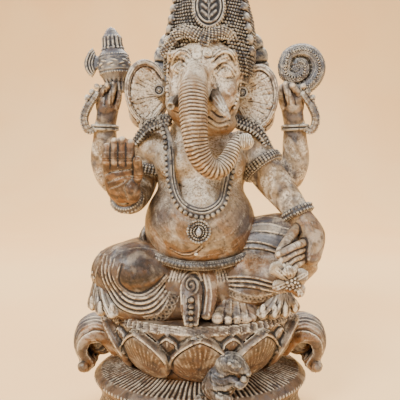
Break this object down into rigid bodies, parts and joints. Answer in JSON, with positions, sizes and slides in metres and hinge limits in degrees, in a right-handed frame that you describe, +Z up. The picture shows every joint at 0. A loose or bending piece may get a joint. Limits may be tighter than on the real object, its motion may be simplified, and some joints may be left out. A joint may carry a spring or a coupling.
{
  "type": "ganesha idol",
  "caption": "Seated elephant-headed devotional figure in a tall crown, on a lotus throne over an oval plinth, with leaf scrolls and a mouse.",
  "frame": {"origin": "centre of the felt pad's underside, on the surface that the idol stands on", "axes": "+Z up; the figure faces -Y, and its own left hand is on the +X side"},
  "size_m": [0.226, 0.1446, 0.416],
  "materials": {
    "antiqued_body": "antiqued cream over umber, satin",
    "umber_wash": "umber wash with rubbed gold-cream edges, satin",
    "slate_wash": "charcoal wash in the relief, rubbed cream on its tops, satin",
    "pale_highlight": "ivory dry-brushed, satin",
    "pearl": "glossy pearl",
    "clear_stone": "faceted foil-backed stone",
    "felt": "felt"
  },
  "bodies": {
    "root": {"axe_blade": "slate_wash", "axe_head": "slate_wash", "belly_jewel": "slate_wash", "belly_stone": "clear_stone", "belt": "slate_wash", "coiled_noose": "slate_wash", "crown": "slate_wash", "crown_finial": "slate_wash", "crown_medallion": "slate_wash", "ear_left": "antiqued_body", "ear_right": "antiqued_body", "ear_stud_left": "slate_wash", "ear_stud_right": "slate_wash", "felt_pad": "felt", "flower": "pale_highlight", "forehead_band": "slate_wash", "front_left_arm": "antiqued_body", "front_left_armlet": "slate_wash", "front_left_bangle": "slate_wash", "front_left_hand": "antiqued_body", "front_right_arm": "antiqued_body", "front_right_armlet": "slate_wash", "front_right_bangle": "slate_wash", "front_right_hand": "umber_wash", "halo_fan": "slate_wash", "head": "antiqued_body", "hem_pleats_left": "pale_highlight", "hem_pleats_right": "pale_highlight", "hips": "umber_wash", "left_foot": "antiqued_body", "left_leg": "umber_wash", "lotus_seat": "umber_wash", "mouse": "slate_wash", "navel_pearl": "pearl", "necklace": "slate_wash", "plinth": "umber_wash", "rear_left_arm": "antiqued_body", "rear_left_bangle": "slate_wash", "rear_left_hand": "antiqued_body", "rear_left_ribbon": "pale_highlight", "rear_right_arm": "antiqued_body", "rear_right_bangle": "slate_wash", "rear_right_hand": "umber_wash", "rear_right_ribbon": "pale_highlight", "right_leg": "umber_wash", "sash": "umber_wash", "scroll_leaf_left": "umber_wash", "scroll_leaf_right": "umber_wash", "shoulder_ornament_left": "slate_wash", "shoulder_ornament_right": "slate_wash", "sweet": "pale_highlight", "torso": "antiqued_body", "trunk": "antiqued_body", "tusk_left": "pale_highlight", "tusk_right": "pale_highlight"}
  },
  "joints": []
}
